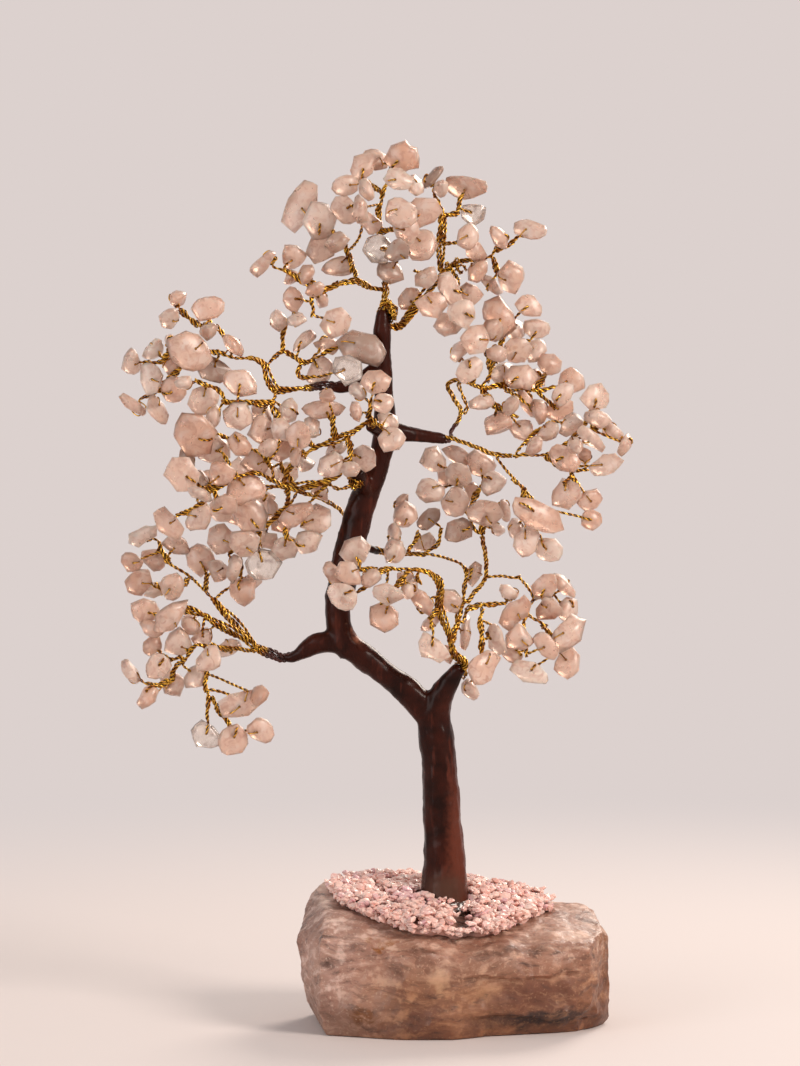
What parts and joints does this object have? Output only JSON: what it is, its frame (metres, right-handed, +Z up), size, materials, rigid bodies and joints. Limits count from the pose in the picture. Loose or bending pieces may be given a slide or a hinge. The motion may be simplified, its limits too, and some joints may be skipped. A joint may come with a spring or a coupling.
{
  "type": "gemstone tree ornament",
  "caption": "Ornamental tree with rose quartz chips on twisted brass wires, a clay covered trunk and a raw stone base.",
  "frame": {"origin": "under the trunk's foot, on the stone's flat underside", "axes": "+Z up along the trunk, -Y towards the viewer of the front, +X to the viewer's right"},
  "size_m": [0.149, 0.0626, 0.2571],
  "materials": {
    "raw_rose_quartz": "raw",
    "clear_resin": "gloss",
    "rose_quartz_gravel": "satin",
    "dark_glue": "gloss",
    "brass_wire": "bright",
    "enamelled_clay": "gloss",
    "rose_quartz_chips": "polished"
  },
  "bodies": {
    "root": {"stone_base": "raw_rose_quartz", "resin_bed": "clear_resin", "gravel": "rose_quartz_gravel", "glue_collar": "dark_glue", "wire_core": "brass_wire", "trunk": "enamelled_clay", "back_centre_wires": "brass_wire", "back_left_wires": "brass_wire", "centre_low_wires": "brass_wire", "centre_right_wires": "brass_wire", "crown_centre_wires": "brass_wire", "crown_left_wires": "brass_wire", "crown_right_wires": "brass_wire", "front_cluster_wires": "brass_wire", "front_left_wires": "brass_wire", "lower_left_hanging_wires": "brass_wire", "lower_left_outer_wires": "brass_wire", "lower_left_upper_wires": "brass_wire", "lower_right_inner_wires": "brass_wire", "lower_right_outer_wires": "brass_wire", "mid_left_lower_wires": "brass_wire", "mid_left_upper_wires": "brass_wire", "right_drop_wires": "brass_wire", "right_outer_wires": "brass_wire", "upper_left_inner_wires": "brass_wire", "upper_left_lower_wires": "brass_wire", "upper_left_outer_wires": "brass_wire", "upper_right_outer_wires": "brass_wire", "upper_right_wires": "brass_wire", "back_centre_chips": "rose_quartz_chips", "back_left_chips": "rose_quartz_chips", "centre_low_chips": "rose_quartz_chips", "centre_right_chips": "rose_quartz_chips", "crown_centre_chips": "rose_quartz_chips", "crown_left_chips": "rose_quartz_chips", "crown_right_chips": "rose_quartz_chips", "front_cluster_chips": "rose_quartz_chips", "front_left_chips": "rose_quartz_chips", "lower_left_hanging_chips": "rose_quartz_chips", "lower_left_outer_chips": "rose_quartz_chips", "lower_left_upper_chips": "rose_quartz_chips", "lower_right_inner_chips": "rose_quartz_chips", "lower_right_outer_chips": "rose_quartz_chips", "mid_left_lower_chips": "rose_quartz_chips", "mid_left_upper_chips": "rose_quartz_chips", "right_drop_chips": "rose_quartz_chips", "right_outer_chips": "rose_quartz_chips", "upper_left_inner_chips": "rose_quartz_chips", "upper_left_lower_chips": "rose_quartz_chips", "upper_left_outer_chips": "rose_quartz_chips", "upper_right_chips": "rose_quartz_chips", "upper_right_outer_chips": "rose_quartz_chips"}
  },
  "joints": []
}
